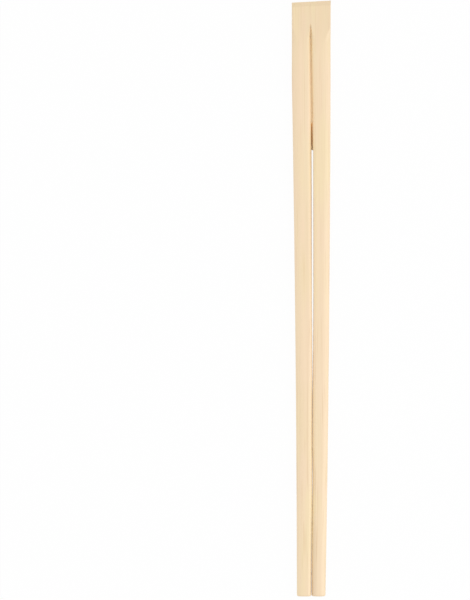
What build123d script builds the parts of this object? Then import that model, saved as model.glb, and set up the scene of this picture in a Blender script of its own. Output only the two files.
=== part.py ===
from build123d import *
import math
import os

# A pair of bamboo chopsticks, planed from one slip of bamboo and still joined at the head.
# The pair lies flat on its underside: length along Y with the head at +Y, width along X,
# thickness along Z. The origin is under the middle of the pair. Sizes are millimetres.

os.makedirs("parts", exist_ok=True)

# The slip of bamboo.
length = 230.0
head_width = 15.0
tip_width = 11.1
head_thickness = 5.0
tip_thickness = 4.2
head_straight = 32.0  # the head keeps its full width this far, then the taper starts
side_bow = 0.38  # how far the tapering part has bowed to +X while drying
edge_ease = 0.4  # the four long edges, as they stay at the head
round_width = 3.0  # the round planed on them below the head, across the face
round_depth = 1.8  # and down the side

# The ends.
head_slant = 3.0  # degrees out of square, with the +X corner standing further out
bevel_length = 1.8
bevel_drop = 0.8
tip_round = 0.6

# The seam between the two sticks, by its distance from the middle of the slip.
seam_at_head = -0.32
seam_at_saw = 0.4
seam_at_neck = 0.5
seam_at_grip = 0.52
seam_at_tips = 0.02

# The groove planed along the seam on both faces. It rounds the inner edges of the sticks.
# The same pass of the cutter head planes the rounds on the outer edges.
groove_from_head = 9.0  # from the head end to the point where the groove enters the face
groove_round = 1.6
groove_floor = 0.3  # flat left between the two rounds in the head
cutter_radius = 18.0  # out to the floor of the groove
shoulder = 0.04  # the rounds stop this far short of running out level with the face

# The saw cut that opens the groove into a slit, and the slit as it closes to the tips.
saw_from_head = 57.6  # from the head end to where the cut comes out underneath
saw_radius = 60.0
saw_kerf = 0.66
saw_drift = -0.14  # the saw ran this far beside the seam
saw_overcut = 0.15  # depth of the cut below the floor of the lower groove
slit_at_saw = 0.46
slit_at_neck = 0.44  # the slit narrows slowly to here, and faster from here to the grip
neck_from_tips = 113.0
slit_at_grip = 0.14  # from here to the tips the sticks all but touch
grip_from_tips = 85.0
slit_relief = 0.05  # the slit is this much wider than the floor of the groove

y_head = length / 2
y_tips = -length / 2
y_taper = y_head - head_straight
y_groove = y_head - groove_from_head
y_saw = y_head - saw_from_head
y_neck = y_tips + neck_from_tips
y_grip = y_tips + grip_from_tips
beyond = 5.0  # how far a cutter reaches past the bamboo
flank_steps = 6  # straight runs in which the outer rounds follow the bowed flanks
end_slope = math.radians(head_slant)
face_slope = math.atan2(head_thickness - tip_thickness, length)
seam_slope = math.atan2(seam_at_saw - seam_at_head, y_groove - y_saw)
groove_depth = groove_round - shoulder


def run_out(depth, radius):
    """Distance over which a round cutter of this radius comes up from this depth."""
    return math.sqrt(2 * radius * depth - depth**2)


# Where the cutter head reaches its full depth, and where the saw's arbor stood.
y_full = y_groove - run_out(groove_depth, cutter_radius)
y_arbor = y_saw - run_out(saw_overcut, saw_radius)

# The seam from head to tips: across, along, and the gap between the sticks.
seam = (
    (seam_at_saw - (y_full - y_saw) * math.tan(seam_slope), y_full, groove_floor),
    (seam_at_saw, y_saw, slit_at_saw),
    (seam_at_neck, y_neck, slit_at_neck),
    (seam_at_grip, y_grip, slit_at_grip),
    (seam_at_tips, y_tips - beyond, slit_at_grip),
)


def flank(side):
    """One long side of the tapering part in plan, from the tips to the head."""
    tip = Vector(side * tip_width / 2, y_tips)
    top = Vector(side * head_width / 2, y_taper)
    return ThreePointArc(tip, (tip + top) / 2 + Vector(side_bow, 0), top)


def across(x, y, face, toward, turn=0.0):
    """Plane across the slip at its upper (1) or lower (-1) face, its Y pointing out of the face."""
    z = head_thickness - (y_head - y) * math.tan(face_slope) if face > 0 else 0
    return Plane(
        origin=(x, y, z),
        x_dir=(toward * math.cos(turn), toward * math.sin(turn), 0),
        z_dir=(toward * face * math.sin(turn), -toward * face * math.cos(turn), 0),
    )


def cusp(plane, floor, radius):
    """Section of a cutter that leaves two convex quarter rounds beside a narrow floor."""
    crest = floor / 2 + radius
    depth = radius - shoulder
    with BuildSketch(plane) as section:
        with BuildLine():
            CenterArc((crest, -depth), radius, 90, 90)
            Polyline((crest, shoulder), (crest, 1), (0, 1))
            Line((floor / 2, -depth), (0, -depth))
            mirror(about=Plane.YZ)
        make_face()
    return section.sketch


def round_over(plane, width, depth):
    """Section of a cutter that rounds over a corner at the origin of this plane."""
    x, y = shoulder - width, shoulder - depth
    with BuildSketch(plane) as section:
        with BuildLine():
            EllipticalCenterArc((x, y), width, depth, arc_size=90)
            Polyline((x, shoulder), (x, 1), (1, 1), (1, y), (shoulder, y))
        make_face()
    return section.sketch


def planed(sections, start, face, turn=0.0):
    """The cut of the cutter head: the arc where it comes down, then its run along the bamboo."""
    spindle = start.from_local_coords((0, cutter_radius - groove_depth, 0))
    axis = Axis(spindle, (face * math.cos(turn), face * math.sin(turn), 0))
    with BuildPart() as cut:
        loft(sections, ruled=True)
        revolve(sections[0], axis=axis, revolution_arc=60)
    return cut.part


def groove(face):
    """The groove between the two sticks, which follows the seam."""
    start = across(*seam[0][:2], face, face, seam_slope)
    sections = [cusp(start, groove_floor, groove_round)]
    for x, y, gap in seam[1:]:
        sections.append(cusp(across(x, y, face, face), gap - slit_relief, groove_round))
    return planed(sections, start, face, seam_slope)


def rounded_edge(face, side):
    """The round on one outer edge, which follows the flank."""
    edge = flanks[side]
    places = [Vector(side * head_width / 2, y_full)]
    places += [edge @ (n / flank_steps) for n in range(flank_steps, -1, -1)]
    places.append(edge @ 0 - (edge % 0) * beyond)
    planes = [across(place.X, place.Y, face, side) for place in places]
    sections = [round_over(plane, round_width, round_depth) for plane in planes]
    return planed(sections, planes[0], face)


def slit():
    """The gap between the sticks, from under the saw's arbor to beyond the tips."""
    with BuildPart() as cut:
        for x, y, gap in seam:
            with BuildSketch(Plane(origin=(x, y, 0), x_dir=(1, 0, 0), z_dir=(0, -1, 0))):
                Rectangle(gap, 4 * head_thickness)
        loft(ruled=True)
        split(bisect_by=Plane.XZ.offset(-y_arbor), keep=Keep.TOP)
    return cut.part


def saw_cut():
    """The arc that the saw left where it came down through the web."""
    low = groove_depth - saw_overcut
    top = head_thickness + 1
    x = seam_at_saw + saw_drift
    arbor = across(x, y_arbor, 1, 1, seam_slope)
    spindle = (arbor.origin.X, arbor.origin.Y, low + saw_radius)
    blade = Plane(origin=(x, y_arbor, 0), x_dir=arbor.x_dir, z_dir=arbor.z_dir)
    with BuildPart() as cut:
        with BuildSketch(blade):
            with Locations((0, (low + top) / 2)):
                Rectangle(saw_kerf, top - low)
        revolve(axis=Axis(spindle, arbor.x_dir), revolution_arc=30)
    return cut.part


flanks = {side: flank(side) for side in (-1, 1)}

# The blank: its plan, tapered in thickness, with the long edges eased.
with BuildPart() as pair:
    with BuildSketch():
        with BuildLine():
            corners = []
            for side, edge in flanks.items():
                add(edge)
                corner_y = y_head + (side - 1) * head_width / 2 * math.tan(end_slope)
                corners.append(Vector(side * head_width / 2, corner_y))
                Line(edge @ 1, corners[-1])
            Line(flanks[-1] @ 0, flanks[1] @ 0)
            Line(*corners)
        make_face()
    extrude(amount=head_thickness)
    split(
        bisect_by=Plane(
            origin=(0, y_head, head_thickness),
            x_dir=(1, 0, 0),
            z_dir=(0, -math.sin(face_slope), math.cos(face_slope)),
        ),
        keep=Keep.BOTTOM,
    )
    fillet(pair.edges().filter_by(lambda edge: abs((edge % 0.5).Y) > 0.9), edge_ease)

    # The head end is bevelled above and below, along its slanting edge.
    head_end = Plane(
        origin=(0, y_head - head_width / 2 * math.tan(end_slope), 0),
        x_dir=(-math.sin(end_slope), math.cos(end_slope), 0),
        z_dir=(math.cos(end_slope), math.sin(end_slope), 0),
    )
    with BuildSketch(head_end):
        for face, out in ((head_thickness, 1), (0, -1)):
            with BuildLine():
                Polyline(
                    (-2 * bevel_length, face + out * bevel_drop),
                    (bevel_length, face - out * 2 * bevel_drop),
                    (bevel_length, face + out * bevel_drop),
                    close=True,
                )
            make_face()
    extrude(amount=head_width, both=True, mode=Mode.SUBTRACT)

    # The tips are rounded over at the faces and at the outer corners.
    for z, out in ((tip_thickness, 1), (0, -1)):
        over = Plane(origin=(0, y_tips, z), x_dir=(0, -1, 0), z_dir=(-out, 0, 0))
        extrude(round_over(over, tip_round, tip_round), tip_width, both=True, mode=Mode.SUBTRACT)
    for x, out in ((tip_width / 2, 1), (-tip_width / 2, -1)):
        over = Plane(origin=(x, y_tips, 0), x_dir=(0, -1, 0), z_dir=(0, 0, out))
        extrude(round_over(over, tip_round, tip_round), head_thickness, both=True, mode=Mode.SUBTRACT)

    # The grooves and the outer rounds above and below, the saw cut between the grooves, and
    # the slit down to the tips.
    for face in (1, -1):
        add(groove(face), mode=Mode.SUBTRACT)
        add(rounded_edge(face, -1), mode=Mode.SUBTRACT)
        add(rounded_edge(face, 1), mode=Mode.SUBTRACT)
    add(saw_cut(), mode=Mode.SUBTRACT)
    add(slit(), mode=Mode.SUBTRACT)

    # The inner corners of the tips are eased too, which leaves a small notch at the seam.
    notch = Plane(origin=(seam_at_tips, y_tips, 0), x_dir=(-1, 0, 0), z_dir=(0, 0, 1))
    extrude(cusp(notch, 2 * slit_at_grip, tip_round), head_thickness, mode=Mode.SUBTRACT)

pair.part.label = "chopstick_pair"
export_step(pair.part, "parts/chopstick_pair.step")
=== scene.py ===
import math

import bmesh
import bpy
import numpy as np
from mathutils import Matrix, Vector


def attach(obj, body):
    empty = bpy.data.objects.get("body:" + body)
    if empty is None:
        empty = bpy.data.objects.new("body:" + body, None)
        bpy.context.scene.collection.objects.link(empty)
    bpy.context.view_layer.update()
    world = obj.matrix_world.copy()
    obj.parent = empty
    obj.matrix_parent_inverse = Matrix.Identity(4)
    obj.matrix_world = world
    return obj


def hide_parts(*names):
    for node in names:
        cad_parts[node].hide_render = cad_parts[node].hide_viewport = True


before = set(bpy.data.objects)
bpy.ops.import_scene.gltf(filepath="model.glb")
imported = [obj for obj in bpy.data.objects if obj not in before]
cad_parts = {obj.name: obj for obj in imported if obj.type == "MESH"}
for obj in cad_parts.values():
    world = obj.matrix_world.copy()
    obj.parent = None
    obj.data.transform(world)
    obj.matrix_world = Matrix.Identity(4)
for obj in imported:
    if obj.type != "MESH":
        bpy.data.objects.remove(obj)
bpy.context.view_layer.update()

MM = 0.001

# A pair of bamboo chopsticks, still joined at the head: the fine mesh over the solid, its
# material, and the stage. Lengths are in millimetres up to where the mesh is made.

# The slip of bamboo.
LENGTH = 230.0
HEAD_WIDTH, TIP_WIDTH = 15.0, 11.1
HEAD_THICK, TIP_THICK = 5.0, 4.2
HEAD_STRAIGHT = 32.0
SIDE_BOW = 0.38
EDGE_EASE = 0.4  # the long edges of the head
ROUND_WIDTH, ROUND_DEPTH = 3.0, 1.8  # the rounds planed on them below the head
HEAD_SLANT = math.tan(math.radians(3.0))
BEVEL_LENGTH, BEVEL_DROP = 1.8, 0.8
TIP_ROUND = 0.6

# The groove between the sticks, and the cutter head that planes it.
GROOVE_ROUND, SHOULDER = 1.6, 0.04
GROOVE_DEPTH = GROOVE_ROUND - SHOULDER
GROOVE_HALF_FLOOR = 0.15
WIDER_ROUND, WIDEST_ROUND = 1.2, 1.42  # the right stick's round, against the left one's
CUTTER_R = 18.0

# The saw cut, and the slit as it closes to the tips. Both ran a little beside the seam.
SAW_R, KERF, OVERCUT, SAW_DRIFT = 60.0, 0.46, 0.15, -0.1
SLIT_AT_SAW, SLIT_AT_NECK, SLIT_DRIFT = 0.64, 0.6, 0.06
TOUCHING, APART = 0.025, 0.07  # half the gap where the sticks all but touch, and between
STEP = 0.2  # the slit takes on the width of the saw cut over this length

Y_HEAD, Y_TIPS = LENGTH / 2, -LENGTH / 2
Y_TAPER = Y_HEAD - HEAD_STRAIGHT
Y_GROOVE = Y_HEAD - 9.0
Y_SAW = Y_HEAD - 57.6
Y_NECK = Y_TIPS + 113.0
Y_GRIP = Y_TIPS + 85.0
SPINDLE = CUTTER_R - GROOVE_DEPTH  # height of the cutter's spindle over the face
Y_FULL = Y_GROOVE - math.sqrt(CUTTER_R**2 - SPINDLE**2)
Y_ROUND = Y_FULL + math.sqrt((SPINDLE + ROUND_DEPTH) ** 2 - SPINDLE**2)
Y_ARBOR = Y_SAW - math.sqrt(2 * SAW_R * OVERCUT - OVERCUT**2)
SAW_LOW = GROOVE_DEPTH - OVERCUT
FACE_SLOPE = (HEAD_THICK - TIP_THICK) / LENGTH

# The seam's distance from the middle of the slip, from the tips to the head.
SEAM = (
    (Y_TIPS - 5, 0.02),
    (Y_TIPS + 22, 0.18),
    (Y_TIPS + 32, 0.34),
    (Y_TIPS + 45, 0.45),
    (Y_TIPS + 61, 0.37),
    (Y_TIPS + 76, 0.42),
    (Y_GRIP, 0.54),
    (Y_NECK, 0.5),
    (Y_SAW, 0.4),
    (Y_GROOVE, -0.32),
)
# How far the slit has cut into the round of the groove on each side. Less than 0, it has
# left a ledge.
CUT_INTO_ROUND = {
    1: (
        (Y_GRIP - 10, 0.0),
        (Y_GRIP + 10, 0.24),
        (Y_NECK, 0.34),
        (Y_SAW - 16, 0.34),
        (Y_SAW - STEP, 0.3),
        (Y_SAW, 0.0),
    ),
    -1: (
        (Y_GRIP - 10, 0.0),
        (Y_GRIP + 10, 0.12),
        (Y_NECK, 0.12),
        (Y_SAW - 16, -0.12),
        (Y_SAW - STEP, -0.3),
        (Y_SAW, -0.23),
        (Y_SAW + 9, 0.0),
    ),
}


def along(y, table):
    """The value at y, from a table of places along the pair and values."""
    return np.interp(y, *zip(*table))


def top_z(y):
    return HEAD_THICK - (Y_HEAD - y) * FACE_SLOPE


def side_x(side, y):
    t = np.clip((Y_TAPER - y) / (Y_TAPER - Y_TIPS), 0, 1)
    half = HEAD_WIDTH / 2 + (TIP_WIDTH - HEAD_WIDTH) / 2 * t
    return side * half + SIDE_BOW * 4 * t * (1 - t)


def seam_x(y):
    return along(y, SEAM)


def pocket_z(y):
    """Height of the arc that the saw left."""
    return SAW_LOW + SAW_R - np.sqrt(SAW_R**2 - (y - Y_ARBOR) ** 2)


# The saw's arc meets the floor of the upper groove here.
Y_POCKET = Y_SAW
while pocket_z(Y_POCKET) < top_z(Y_POCKET) - GROOVE_DEPTH:
    Y_POCKET += 0.01


def half_gap(y, side):
    """From the seam to the wall on this side."""
    saw = KERF / 2 + side * SAW_DRIFT
    table = (
        (Y_TIPS, 0.06),
        (Y_TIPS + 10, TOUCHING),
        (Y_TIPS + 34, TOUCHING),
        (Y_TIPS + 45, APART),
        (Y_TIPS + 56, TOUCHING),
        (Y_GRIP - 8, TOUCHING),
        (Y_GRIP, APART),
        (Y_NECK, SLIT_AT_NECK / 2 + side * SLIT_DRIFT),
        (Y_SAW - STEP, SLIT_AT_SAW / 2 + side * SLIT_DRIFT),
        (Y_SAW, saw),
        (Y_POCKET, saw),
        (Y_POCKET + 2, 0.2),
        (Y_FULL, GROOVE_HALF_FLOOR),
    )
    return along(y, table)


def spread(a, b, step):
    return list(np.linspace(a, b, max(2, int(round(abs(b - a) / step)) + 1)))


def merge(*runs):
    """All the places in order, without those that nearly coincide."""
    values = sorted(v for run in runs for v in run)
    out = [values[0]]
    for v in values[1:]:
        if v - out[-1] > 0.02:
            out.append(v)
    return np.array(out)


# The sections of the mesh stand at these places along the pair.
TIP_STEPS = [Y_TIPS + TIP_ROUND * (1 - math.cos(a)) for a in np.linspace(0, math.pi / 2, 7)]
STATIONS = merge(
    TIP_STEPS,
    spread(Y_TIPS + 1.1, Y_SAW - 0.8, 0.85),
    [Y_SAW - 0.5, Y_SAW - STEP, Y_SAW - 0.08, Y_SAW],
    spread(Y_SAW + 0.4, Y_POCKET - 0.4, 0.5),
    [Y_POCKET],
    spread(Y_POCKET + 0.5, Y_FULL - 0.5, 0.85),
    spread(Y_FULL, Y_ROUND + 0.3, 0.28),
    spread(Y_ROUND + 0.8, Y_HEAD - BEVEL_LENGTH - 0.3, 0.6),
    [Y_HEAD - BEVEL_LENGTH - 0.12, Y_HEAD - BEVEL_LENGTH, Y_HEAD - BEVEL_LENGTH + 0.14],
    spread(Y_HEAD - BEVEL_LENGTH + 0.35, Y_HEAD - 0.3, 0.3),
    [Y_HEAD - 0.1, Y_HEAD],
)


def index_of(y):
    return int(np.argmin(np.abs(STATIONS - y)))


J_SAW, J_POCKET = index_of(Y_SAW), index_of(Y_POCKET)
# Points across the inner round, and steps across the face, the flank and the inner wall.
N_IN, N_FLAT, N_SIDE, N_WALL = 12, 12, 6, 6


def lifted(h, lift):
    """The cutter's profile, h over the face at full depth, at this distance past its last cut."""
    return SPINDLE - np.sqrt(np.maximum((SPINDLE - h) ** 2 - max(lift, 0.0) ** 2, 0))


# Rays from the middle of the outer round to the edge, closest together at the eased corner.
CORNER_RAYS = np.radians(
    [90, 80, 70, 60, 52, 46, 41, 37.5, 35, 33, 31.5, 30, 28.5, 26.5, 23.5, 19, 14, 9, 4.5, 0]
)


def outer_corner(lift):
    """The outer edge, out of and up from the middle of its round: its ease, or the planed round."""
    dx, dz = np.cos(CORNER_RAYS), np.sin(CORNER_RAYS)

    def outside(r):
        x, z = r * dx, r * dz
        ex, ez = x - (ROUND_WIDTH - EDGE_EASE), z - (ROUND_DEPTH - EDGE_EASE)
        eased = (ex > 0) & (ez > 0) & (ex**2 + ez**2 > EDGE_EASE**2)
        h = ROUND_DEPTH * (np.sqrt(np.clip(1 - (x / ROUND_WIDTH) ** 2, 0, 1)) - 1)
        planed = z > ROUND_DEPTH + lifted(h, lift)
        return eased | planed | (x > ROUND_WIDTH) | (z > ROUND_DEPTH)

    low, high = np.zeros(len(dx)), np.full(len(dx), ROUND_WIDTH + 1)
    for _ in range(30):
        middle = (low + high) / 2
        out = outside(middle)
        low, high = np.where(out, low, middle), np.where(out, middle, high)
    return low * dx, low * dz


def half_section(side, y):
    """From the top of the inner wall, over the face, down the outside and back underneath: x, z."""
    face = top_z(y)
    gap, seam, edge = half_gap(y, side), seam_x(y), side_x(side, y)
    lift = y - Y_FULL
    cut = float(along(y, CUT_INTO_ROUND[side]))
    width = GROOVE_ROUND
    if side > 0:
        width *= float(along(y, ((Y_TIPS, WIDEST_ROUND), (Y_TIPS + 40, WIDER_ROUND))))

    def inner(base, out):
        a = np.linspace(math.acos(max(cut, 0.0) / width - 1), math.pi / 2, N_IN)
        d = gap - cut + width + width * np.cos(a)
        d[0] = gap
        h = np.minimum(lifted(GROOVE_ROUND * np.sin(a) - GROOVE_DEPTH, lift), 0)
        return [(seam + side * x, base + out * z) for x, z in zip(d, h)]

    upper, lower = inner(face, 1), inner(0.0, -1)[::-1]
    centre_x = edge - side * ROUND_WIDTH
    corner_x, corner_z = outer_corner(lift)
    over = [(centre_x + side * x, face - ROUND_DEPTH + z) for x, z in zip(corner_x, corner_z)]
    under = [(centre_x + side * x, ROUND_DEPTH - z) for x, z in zip(corner_x, corner_z)][::-1]
    flat_x = np.linspace(upper[-1][0], centre_x, N_FLAT + 1)[1:-1]
    down_z = np.linspace(over[-1][1], under[0][1], N_SIDE + 1)[1:-1]
    points = (
        upper
        + [(x, face) for x in flat_x]
        + over
        + [(edge, z) for z in down_z]
        + under
        + [(x, 0.0) for x in flat_x[::-1]]
        + lower
    )
    return np.array(points)


def wall_section(side, y, section):
    """The inner wall of one stick, or of the saw's pocket, from its top edge down: x, z."""
    x = seam_x(y) + side * half_gap(y, side)
    low = pocket_z(y) if y > Y_SAW + 1e-6 else section[-1][1]
    z = np.linspace(section[0][1], low, N_WALL + 1)[1:]
    return np.array([(x, v) for v in z])


def groove_weights(count, y):
    """For each point of a section, 1 at the bottom of a groove, and 0 at its crest and beyond."""
    weights = np.zeros(count)
    if y < Y_GROOVE:
        share = min((Y_GROOVE - y) / (Y_GROOVE - Y_FULL), 1.0)
        weights[:N_IN] = np.linspace(share, 0, N_IN)
        weights[-N_IN:] = np.linspace(0, share, N_IN)
    return weights


class Relief:
    """Fibre relief: a sum of long waves that run with the grain, the same on every run."""

    def __init__(self, seed, count, across, along):
        rng = np.random.default_rng(seed)
        angle = rng.uniform(0, 2 * math.pi, count)
        k = 2 * math.pi / rng.uniform(*across, count)
        self.kx, self.kz = k * np.cos(angle), k * np.sin(angle)
        self.ky = 2 * math.pi / rng.uniform(*along, count) * rng.choice([-1, 1], count)
        self.phase = rng.uniform(0, 2 * math.pi, count)

    def at(self, p):
        total = np.zeros(len(p))
        for kx, ky, kz, ph in zip(self.kx, self.ky, self.kz, self.phase):
            total += np.cos(kx * p[:, 0] + ky * p[:, 1] + kz * p[:, 2] + ph)
        return total / math.sqrt(len(self.phase) / 2)


def build_pair():
    """The sections joined to one closed mesh, with what soften and the material need."""
    verts, faces, kinds, planed = [], [], [], []

    def add(points, y, kind, into_groove):
        first = len(verts)
        for (x, z), weight in zip(points, into_groove):
            verts.append((x, y, z))
            kinds.append(kind)
            planed.append(weight)
        return list(range(first, len(verts)))

    sheets, walls = {}, {}
    for side in (-1, 1):
        sheets[side], walls[side] = [], []
        for j, y in enumerate(STATIONS):
            section = half_section(side, y)
            sheets[side].append(add(section, y, 0, groove_weights(len(section), y)))
            if j < J_POCKET:
                walls[side].append(add(wall_section(side, y, section), y, 1, np.ones(N_WALL)))
                if j <= J_SAW:  # the wall's foot is the lower edge of the section
                    walls[side][-1][-1] = sheets[side][-1][-1]

    def quad(a, b, c, d, flip):
        face = [a, b, c, d] if not flip else [d, c, b, a]
        out = []
        for v in face:
            if v not in out:
                out.append(v)
        if len(out) > 2:
            faces.append(out)

    for side in (-1, 1):
        flip = side == 1
        rows = sheets[side]
        for j in range(len(rows) - 1):
            for i in range(len(rows[j]) - 1):
                quad(rows[j][i], rows[j + 1][i], rows[j + 1][i + 1], rows[j][i + 1], flip)
        wall = walls[side]
        for j in range(len(wall)):
            near = [rows[j][0]] + wall[j]
            far = [rows[j + 1][0]] + (wall[j + 1] if j + 1 < len(wall) else [])
            if j + 1 < len(wall):
                for i in range(N_WALL):
                    quad(near[i], near[i + 1], far[i + 1], far[i], flip)
            else:  # the pocket ends where its floor meets the groove
                for i in range(N_WALL):
                    quad(near[i], near[i + 1], far[0], far[0], flip)

    left, right = sheets[-1], sheets[1]
    for j in range(J_POCKET, len(STATIONS) - 1):  # floor of the upper groove, and the head's face
        quad(left[j][0], right[j][0], right[j + 1][0], left[j + 1][0], False)
    for j in range(J_SAW, len(STATIONS) - 1):  # the same underneath
        quad(left[j][-1], left[j + 1][-1], right[j + 1][-1], right[j][-1], False)
    for j in range(J_SAW, J_POCKET):  # floor of the saw's pocket
        a, b = walls[-1][j][-1], walls[1][j][-1]
        if j + 1 < J_POCKET:
            c, d = walls[1][j + 1][-1], walls[-1][j + 1][-1]
        else:
            c, d = right[j + 1][0], left[j + 1][0]
        quad(a, b, c, d, False)

    # The end faces.
    for side in (-1, 1):
        loop = sheets[side][0] + walls[side][0][:-1][::-1]
        faces.append(loop if side == -1 else loop[::-1])
    ring = left[-1] + right[-1][::-1]
    faces.append(ring[::-1])
    return np.array(verts), faces, np.array(kinds), np.array(planed), sheets, walls


def soften(co, sheets, walls):
    """The slanting bevelled head end, and the tips rounded off all the way around."""
    for side in (-1, 1):
        for j, y in enumerate(STATIONS):
            v = y - Y_TIPS
            if v < TIP_ROUND - 1e-6:
                inset = TIP_ROUND - math.sqrt(TIP_ROUND**2 - (TIP_ROUND - v) ** 2)
                loop = sheets[side][j] + walls[side][j][:-1][::-1]
                p = co[loop][:, [0, 2]]
                along = np.roll(p, -1, 0) - np.roll(p, 1, 0)
                along /= np.maximum(np.linalg.norm(along, axis=1), 1e-9)[:, None]
                inward = np.stack([along[:, 1], -along[:, 0]], 1) * side
                middle = p.mean(0)
                if ((middle - p) * inward).sum() < 0:
                    inward = -inward
                co[loop, 0] += inward[:, 0] * inset
                co[loop, 2] += inward[:, 1] * inset
    v = Y_HEAD - co[:, 1]
    cut = BEVEL_DROP * np.clip(1 - v / BEVEL_LENGTH, 0, 1)
    co[:, 2] = np.clip(co[:, 2], cut, top_z(co[:, 1]) - cut)
    t = np.clip((co[:, 1] - 106.5) / 6.0, 0, 1)
    co[:, 1] -= (HEAD_WIDTH / 2 - co[:, 0]) * HEAD_SLANT * t * t * (3 - 2 * t)
    return co


def vertex_normals(mesh):
    normals = np.zeros(len(mesh.vertices) * 3, np.float32)
    mesh.vertices.foreach_get("normal", normals)
    return normals.reshape(-1, 3).astype(float)


def shape_pair():
    co, faces, kinds, groove, sheets, walls = build_pair()
    co = soften(co, sheets, walls)
    mesh = bpy.data.meshes.new("chopstick_pair_fine")
    mesh.from_pydata([tuple(v) for v in co], [], faces)
    mesh.update()

    # Planed fibre on the faces, a rougher torn grain on the sawn walls, and small knocks.
    normals = vertex_normals(mesh)
    fine = Relief(11, 70, (0.55, 1.4), (25, 90)).at(co)
    broad = Relief(12, 30, (2.0, 6.0), (40, 160)).at(co)
    sawn = Relief(13, 60, (0.5, 1.2), (1.0, 3.0)).at(co)
    depth = 0.006 * (1.6 + fine) + 0.010 * (1.6 + broad)
    depth = np.where(kinds == 1, 0.012 * (1.6 + sawn), depth)
    rng = np.random.default_rng(5)
    rim = rng.choice(np.flatnonzero(kinds == 0), 90)
    for at, size, deep in zip(co[rim], rng.uniform(0.35, 1.1, 90), rng.uniform(0.02, 0.07, 90)):
        near = ((co - at) ** 2 * [1, 0.35, 1]).sum(1)
        depth += deep * np.exp(-near / size**2)
    depth = np.clip(depth, 0, 0.16)
    co = co - normals * depth[:, None]
    co[:, 2] = np.clip(co[:, 2], 0, None)
    mesh.vertices.foreach_set("co", (co * MM).astype(np.float32).ravel())
    # Sawn walls: full tint in the saw's pocket, a quarter on the walls of the slit. The fade
    # between, over the pocket's deepest end by the slit, is painted light that lifts that floor out
    # of its shade.
    sawn_with_painted_light = (kinds == 1) * np.clip((co[:, 1] - Y_SAW - 1.2) / 1.2, 0.25, 1)
    on_right = co[:, 0] > seam_x(co[:, 1])
    # Painted shade: a mask on the right stick's round beside the seam, near its tip, for darkening
    # it.
    painted_seam_shade = 4 * groove * (1 - groove) * on_right * np.clip((Y_TIPS + 36 - co[:, 1]) / 12, 0, 1)
    for name, values in (("sawn", sawn_with_painted_light), ("groove", groove), ("painted_seam_shade", painted_seam_shade)):
        mask = mesh.attributes.new(name, "FLOAT", "POINT")
        mask.data.foreach_set("value", values.astype(np.float32))
    mesh.update()
    return mesh


class Nodes:
    """Short calls for building one material's node tree."""

    def __init__(self, tree):
        self.tree = tree

    def add(self, kind, **settings):
        node = self.tree.nodes.new(kind)
        for key, value in settings.items():
            if key in node.inputs:
                node.inputs[key].default_value = value
            else:
                setattr(node, key, value)
        return node

    def link(self, a, b):
        self.tree.links.new(a, b)

    def math(self, operation, a, b=None, c=None, clamp=False):
        node = self.tree.nodes.new("ShaderNodeMath")
        node.operation, node.use_clamp = operation, clamp
        for socket, value in zip(node.inputs, (a, b, c)):
            if isinstance(value, (int, float)):
                socket.default_value = value
            elif value is not None:
                self.link(value, socket)
        return node.outputs[0]

    def noise(self, coords, scale, detail=2.0, roughness=0.5, seed=0.0, distortion=0.0):
        """Noise whose waves are scale = (x, y, z) millimetres long."""
        mapping = self.tree.nodes.new("ShaderNodeMapping")
        mapping.inputs["Location"].default_value = (seed, seed * 1.7, -seed)
        mapping.inputs["Scale"].default_value = tuple(1000.0 / v for v in scale)
        self.link(coords, mapping.inputs["Vector"])
        node = self.tree.nodes.new("ShaderNodeTexNoise")
        node.inputs["Scale"].default_value = 1.0
        node.inputs["Detail"].default_value = detail
        node.inputs["Roughness"].default_value = roughness
        node.inputs["Distortion"].default_value = distortion
        self.link(mapping.outputs[0], node.inputs["Vector"])
        return node.outputs["Fac"]

    def ramp(self, value, low, high):
        node = self.tree.nodes.new("ShaderNodeMapRange")
        node.clamp = True
        node.interpolation_type = "SMOOTHSTEP"
        node.inputs["From Min"].default_value = low
        node.inputs["From Max"].default_value = high
        self.link(value, node.inputs["Value"])
        return node.outputs[0]

    def scaled(self, value, share):
        return self.math("MULTIPLY", value, share)

    def mix(self, factor, a, b, blend="MIX"):
        node = self.tree.nodes.new("ShaderNodeMix")
        node.data_type, node.blend_type = "RGBA", blend
        for socket, value in ((node.inputs[0], factor), (node.inputs[6], a), (node.inputs[7], b)):
            if isinstance(value, (int, float)):
                socket.default_value = value
            elif isinstance(value, tuple):
                socket.default_value = (*value, 1.0)
            else:
                self.link(value, socket)
        return node.outputs[2]


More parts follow.
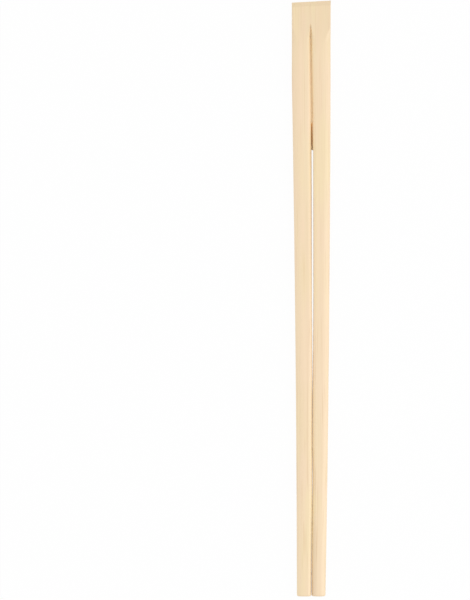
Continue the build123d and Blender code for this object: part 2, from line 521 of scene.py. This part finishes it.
def bamboo_material():
    material = bpy.data.materials.new("bamboo")
    material.use_nodes = True
    tree = material.node_tree
    tree.nodes.clear()
    n = Nodes(tree)
    out = n.add("ShaderNodeOutputMaterial")
    shader = n.add("ShaderNodeBsdfPrincipled")
    shader.inputs["IOR"].default_value = 1.5
    shader.inputs["Specular IOR Level"].default_value = 0.5
    n.link(shader.outputs[0], out.inputs["Surface"])
    coords = n.add("ShaderNodeTexCoord").outputs["Object"]
    normal = n.add("ShaderNodeSeparateXYZ")
    n.link(n.add("ShaderNodeTexCoord").outputs["Normal"], normal.inputs[0])
    end_grain = n.ramp(n.math("ABSOLUTE", normal.outputs[1]), 0.3, 0.85)
    sawn = n.add("ShaderNodeAttribute", attribute_name="sawn").outputs["Fac"]

    # Long grain: broad bands, patches, fine fibre, and thin darker bundles that come and go.
    bands = n.noise(coords, (2.6, 150, 2.6), 2.0, 0.5, 3.1)
    mottle = n.noise(coords, (9, 34, 9), 3.0, 0.55, 7.7)
    blush = n.noise(coords, (5, 30, 5), 2.0, 0.5, 4.4)
    fibre = n.noise(coords, (0.34, 42, 0.34), 3.0, 0.6, 1.3)
    bundle = n.noise(coords, (0.42, 26, 0.42), 1.0, 0.4, 5.9)
    bundle = n.ramp(bundle, 0.60, 0.74)
    colour = n.mix(n.ramp(bands, 0.3, 0.7), (0.930, 0.750, 0.500), (0.918, 0.714, 0.484))
    colour = n.mix(n.scaled(n.ramp(mottle, 0.4, 0.65), 0.5), colour, (0.930, 0.772, 0.468))
    colour = n.mix(n.scaled(n.ramp(blush, 0.42, 0.66), 0.5), colour, (0.945, 0.726, 0.520))
    # The fibre shows more towards the tips.
    place = n.add("ShaderNodeSeparateXYZ")
    n.link(coords, place.inputs[0])
    showing = n.math("MULTIPLY_ADD", n.ramp(place.outputs[1], 0.05, -0.08), 0.9, 0.75)
    shown = n.scaled(n.scaled(n.ramp(fibre, 0.42, 0.72), 0.24), showing)
    colour = n.mix(shown, colour, (0.84, 0.63, 0.40))
    shown = n.scaled(n.scaled(bundle, 0.3), showing)
    colour = n.mix(shown, colour, (0.74, 0.52, 0.30))
    # The head is a shade darker than the planed length.
    planed = n.ramp(place.outputs[1], Y_GROOVE * MM, (Y_FULL - 6) * MM)
    head = n.mix(1.0, colour, (0.965, 0.96, 0.955), "MULTIPLY")
    colour = n.mix(n.math("MULTIPLY_ADD", planed, -1.0, 1.0), colour, head)

    # Painted light: the floor of a groove is made a little lighter, lifting the shade that falls in
    # it.
    groove = n.add("ShaderNodeAttribute", attribute_name="groove").outputs["Fac"]
    deep = n.mix(1.0, colour, (1.02, 1.03, 1.01), "MULTIPLY")
    colour = n.mix(groove, colour, deep)

    # Painted shade: the right stick's round beside the seam, near its tip, is darkened to stand in
    # for the shade in the groove there.
    painted_seam_shade = n.add("ShaderNodeAttribute", attribute_name="painted_seam_shade").outputs["Fac"]
    colour = n.mix(painted_seam_shade, colour, n.mix(1.0, colour, (0.905, 0.89, 0.895), "MULTIPLY"))

    # End grain: the bundles cut across, as darker dots.
    cells = n.add("ShaderNodeMapping")
    cells.inputs["Scale"].default_value = (1000 / 0.62, 1000 / 90, 1000 / 0.5)
    n.link(coords, cells.inputs["Vector"])
    dots = n.add("ShaderNodeTexVoronoi", Scale=1.0, Randomness=0.85)
    n.link(cells.outputs[0], dots.inputs["Vector"])
    dot = n.math("SUBTRACT", 1.0, n.ramp(dots.outputs["Distance"], 0.16, 0.42))
    ends = n.mix(n.scaled(dot, 0.75), (0.88, 0.66, 0.41), (0.50, 0.31, 0.15))
    colour = n.mix(end_grain, colour, ends)

    # Sawn walls are browner, and torn along the grain. Where the saw's pocket is deepest, by the
    # slit, their tint is faded: painted light.
    torn = n.noise(coords, (0.3, 2.2, 0.3), 4.0, 0.6, 9.1)
    colour = n.mix(n.scaled(sawn, 0.7), colour, (0.95, 0.55, 0.17))
    colour = n.mix(n.scaled(sawn, n.scaled(torn, 0.4)), colour, (0.66, 0.37, 0.12))
    n.link(colour, shader.inputs["Base Color"])

    rough = n.math("MULTIPLY_ADD", fibre, 0.16, 0.30)
    rough = n.math("MULTIPLY_ADD", end_grain, 0.25, rough)
    rough = n.math("MULTIPLY_ADD", sawn, 0.5, rough, clamp=True)
    n.link(rough, shader.inputs["Roughness"])

    height = n.math("MULTIPLY_ADD", fibre, 0.8, n.math("MULTIPLY", bundle, -0.5))
    height = n.math("MULTIPLY_ADD", n.math("MULTIPLY", dot, end_grain), -1.4, height)
    height = n.math("MULTIPLY_ADD", n.math("MULTIPLY", torn, sawn), 2.5, height)
    bump = n.add("ShaderNodeBump", Strength=0.55, Distance=0.00003)
    n.link(height, bump.inputs["Height"])
    n.link(bump.outputs[0], shader.inputs["Normal"])
    return material


bamboo = bamboo_material()
mesh = shape_pair()
piece = bpy.data.objects.new("bamboo_chopstick_pair", mesh)
bpy.context.scene.collection.objects.link(piece)
work = bmesh.new()
work.from_mesh(mesh)
bmesh.ops.delete(work, geom=[v for v in work.verts if not v.link_faces], context="VERTS")
bmesh.ops.recalc_face_normals(work, faces=work.faces)
sharp = math.radians(32)
for edge in work.edges:
    edge.smooth = edge.calc_face_angle(0) < sharp
for face in work.faces:
    face.smooth = True
work.to_mesh(mesh)
work.free()
mesh.materials.append(bamboo)
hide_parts("chopstick_pair")
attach(piece, "root")
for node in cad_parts.values():
    node.data.materials.clear()
    node.data.materials.append(bamboo)


def white_where_seen(tree, surface, share):
    """Mixes this share of plain white into a material for camera, glossy and transmission rays."""
    n = Nodes(tree)
    path = n.add("ShaderNodeLightPath")
    seen = n.math("MAXIMUM", path.outputs["Is Camera Ray"], path.outputs["Is Glossy Ray"])
    seen = n.math("MAXIMUM", seen, path.outputs["Is Transmission Ray"])
    white = n.add("ShaderNodeEmission", Strength=1.0)
    mix = n.add("ShaderNodeMixShader")
    n.link(n.math("MULTIPLY", seen, share), mix.inputs[0])
    n.link(surface, mix.inputs[1])
    n.link(white.outputs[0], mix.inputs[2])
    return mix.outputs[0]


# The floor, the light and the camera, in metres.
S = 3.0
floor_mesh = bpy.data.meshes.new("floor")
floor_mesh.from_pydata([(-S, -S, 0), (S, -S, 0), (S, S, 0), (-S, S, 0)], [], [(0, 1, 2, 3)])
floor = bpy.data.objects.new("floor", floor_mesh)
floor.location.z = -0.00003
bpy.context.scene.collection.objects.link(floor)
floor_material = bpy.data.materials.new("floor_white")
floor_material.use_nodes = True
tree = floor_material.node_tree
tree.nodes.clear()
n = Nodes(tree)
paper = n.add("ShaderNodeBsdfDiffuse", Color=(0.9, 0.9, 0.9, 1.0))
out = n.add("ShaderNodeOutputMaterial")
n.link(white_where_seen(tree, paper.outputs[0], 0.96), out.inputs["Surface"])
floor_mesh.materials.append(floor_material)

world = bpy.data.worlds.new("studio")
bpy.context.scene.world = world
world.use_nodes = True
tree = world.node_tree
tree.nodes.clear()
n = Nodes(tree)
path = n.add("ShaderNodeLightPath")
dim = n.add("ShaderNodeBackground", Color=(1, 1, 1, 1), Strength=0.81)
lit = n.add("ShaderNodeBackground", Color=(1, 1, 1, 1), Strength=1.0)
mix = n.add("ShaderNodeMixShader")
n.link(path.outputs["Is Camera Ray"], mix.inputs[0])
n.link(dim.outputs[0], mix.inputs[1])
n.link(lit.outputs[0], mix.inputs[2])
out = n.add("ShaderNodeOutputWorld")
n.link(mix.outputs[0], out.inputs["Surface"])


def softbox(name, location, target, size, watts):
    light = bpy.data.lights.new(name, "AREA")
    light.shape = "RECTANGLE"
    light.size, light.size_y = size
    light.energy = watts
    lamp = bpy.data.objects.new(name, light)
    lamp.location = location
    lamp.rotation_euler = (Vector(target) - Vector(location)).to_track_quat("-Z", "Y").to_euler()
    bpy.context.scene.collection.objects.link(lamp)


softbox("key_right", (0.62, -0.12, 0.5), (0, 0, 0), (0.16, 0.9), 1.9)
softbox("fill_left", (-0.7, 0.0, 0.3), (0, 0, 0), (0.7, 0.5), 0.5)

FIELD = 0.2318  # metres across the photograph's height, at the middle of the bamboo
LENS, SENSOR = 200.0, 36.0
camera_data = bpy.data.cameras.new("camera")
camera_data.lens, camera_data.sensor_width = LENS, SENSOR
camera = bpy.data.objects.new("camera", camera_data)
camera.location = (-0.02945, -0.00055, 0.0025 + FIELD * LENS / SENSOR)
bpy.context.scene.collection.objects.link(camera)
bpy.context.scene.camera = camera
bpy.context.scene.view_settings.view_transform = "Standard"
